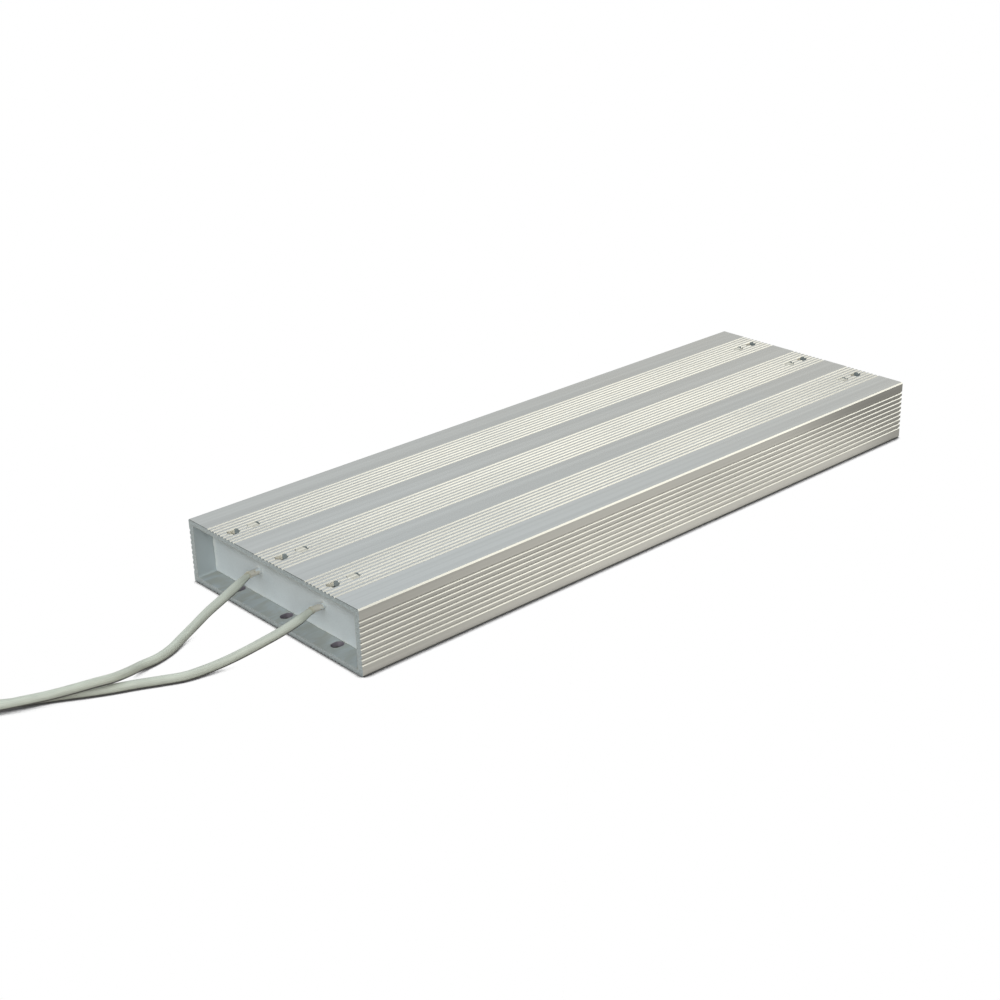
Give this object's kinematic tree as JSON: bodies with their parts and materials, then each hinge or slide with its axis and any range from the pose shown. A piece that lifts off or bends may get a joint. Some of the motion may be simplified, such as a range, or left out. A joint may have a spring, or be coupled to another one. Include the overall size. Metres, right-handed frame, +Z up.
{
  "type": "power resistor",
  "caption": "Flat wirewound power resistor in a grooved rectangular aluminium tube, slotted for screws and sealed with cast cement at its ends, with sleeved leads at one end.",
  "frame": {"origin": "middle of the housing's underside", "axes": "+X along the housing, away from the leads, +Y across it, +Z up out of the top face"},
  "size_m": [0.5256, 0.1589, 0.03],
  "materials": {
    "housing_aluminium": "satin anodised extrusion",
    "cast_cement": "pale grey cast cement, matt",
    "sand_pack": "packed silica sand",
    "ceramic": "unglazed white ceramic",
    "resistance_alloy": "dull nickel-chromium ribbon",
    "plated_steel": "plated sheet steel",
    "tinned_brass": "tinned brass",
    "wire_insulation": "beige silicone insulation",
    "lead_sleeve": "cream varnished glass-fibre sleeve",
    "tinned_strands": "tinned copper strands"
  },
  "bodies": {
    "root": {"housing": "housing_aluminium", "front_seal": "cast_cement", "rear_seal": "cast_cement", "filler": "sand_pack", "former_left": "ceramic", "former_right": "ceramic", "winding_left": "resistance_alloy", "winding_right": "resistance_alloy", "front_cap_left": "plated_steel", "front_cap_right": "plated_steel", "rear_cap_left": "plated_steel", "rear_cap_right": "plated_steel", "series_link": "plated_steel", "ferrule_left": "tinned_brass", "ferrule_right": "tinned_brass", "lead_core_left": "wire_insulation", "lead_core_right": "wire_insulation", "lead_left": "lead_sleeve", "lead_right": "lead_sleeve", "lead_end_left": "tinned_strands", "lead_end_right": "tinned_strands"}
  },
  "joints": []
}
